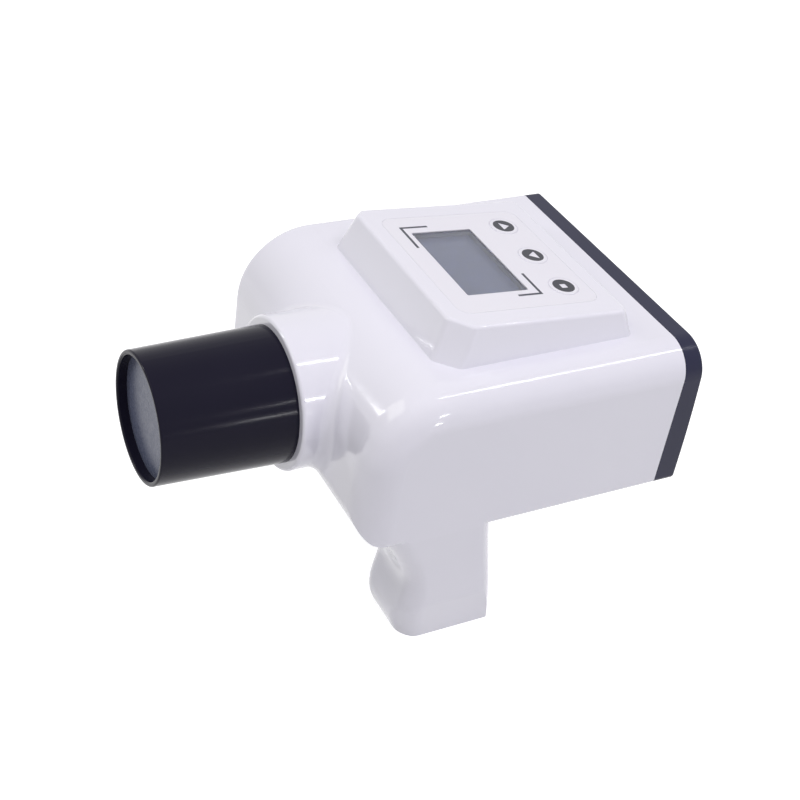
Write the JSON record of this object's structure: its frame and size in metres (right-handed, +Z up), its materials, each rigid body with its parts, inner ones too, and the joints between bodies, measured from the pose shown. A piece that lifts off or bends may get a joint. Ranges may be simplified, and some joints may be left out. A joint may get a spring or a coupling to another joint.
{
  "type": "portable dental x-ray unit",
  "caption": "Hand-held dental x-ray unit: white round-nosed housing, dark beam cone, sloping key panel with display, side battery grip and dark rear cover with power rocker.",
  "frame": {"origin": "middle of the unit's bounding box at the level of the grip's foot", "axes": "+Z up, the beam leaves along -Y, the rear cover is at +Y, the grip is on the +X side"},
  "size_m": [0.162, 0.264, 0.1782],
  "materials": {
    "shell_white": "gloss",
    "cover_dark": "gloss",
    "cone_black": "gloss",
    "plate_slate": "satin",
    "liner_lead": "matt",
    "film_white": "satin",
    "window_clear": "polished",
    "display_grey": "gloss",
    "key_white": "satin",
    "board_green": "satin",
    "part_black": "satin",
    "screw_steel": "brushed",
    "spacer_brass": "machined",
    "terminal_brass": "plain",
    "case_metal": "cast",
    "filter_metal": "rolled",
    "lead_grey": "dull",
    "tube_glass": "polished",
    "anode_copper": "turned",
    "cathode_metal": "turned",
    "ring_rubber": "matt",
    "cradle_plastic": "matt",
    "potting_blue": "satin",
    "capacitor_blue": "sleeved",
    "foam_grey": "foam",
    "cell_silver": "foil"
  },
  "bodies": {
    "housing": {"front_housing": "shell_white", "rear_cover": "cover_dark", "cover_screws": "screw_steel", "panel_overlay": "film_white", "display_window": "window_clear", "display_panel": "display_grey", "display_board": "board_green", "keypad_board": "board_green", "key_switches": "part_black", "board_screws": "screw_steel", "cone_tube": "cone_black", "cone_end_plate": "plate_slate", "cone_liner": "liner_lead", "tube_head_case": "case_metal", "tube_head_lid": "case_metal", "ear_screws": "screw_steel", "collimator_ring": "lead_grey", "beam_filter": "filter_metal", "tube_glass": "tube_glass", "anode": "anode_copper", "cathode": "cathode_metal", "lead_sleeve": "lead_grey", "tube_rings": "ring_rubber", "tube_cradles": "cradle_plastic", "high_voltage_block": "potting_blue", "board_spacers": "spacer_brass", "control_board": "board_green", "control_screws": "screw_steel", "capacitors": "capacitor_blue", "buzzer": "part_black", "switch_body": "part_black", "switch_terminals": "terminal_brass", "charge_socket": "part_black", "charge_contact": "terminal_brass", "battery_door": "shell_white", "door_screws": "screw_steel", "battery_pad": "foam_grey", "battery_cells": "cell_silver", "battery_board": "board_green"},
    "key_up": {"key_up": "key_white"},
    "key_down": {"key_down": "key_white"},
    "key_select": {"key_select": "key_white"},
    "power_rocker": {"power_rocker": "part_black"}
  },
  "joints": [
    {"name": "key_up_press", "type": "slide", "parent": "housing", "child": "key_up", "axis": [0, -0.075, -0.9972], "range_m": [0, 0.0007], "stiffness_N_per_m": 1500},
    {"name": "key_down_press", "type": "slide", "parent": "housing", "child": "key_down", "axis": [0, -0.075, -0.9972], "range_m": [0, 0.0007], "stiffness_N_per_m": 1500},
    {"name": "key_select_press", "type": "slide", "parent": "housing", "child": "key_select", "axis": [0, -0.075, -0.9972], "range_m": [0, 0.0007], "stiffness_N_per_m": 1500},
    {"name": "power_rocker_tilt", "type": "hinge", "parent": "housing", "child": "power_rocker", "pos_m": [-0.042, 0.1276, 0.0905], "axis": [0, 0, 1], "range_deg": [0, 16]}
  ]
}
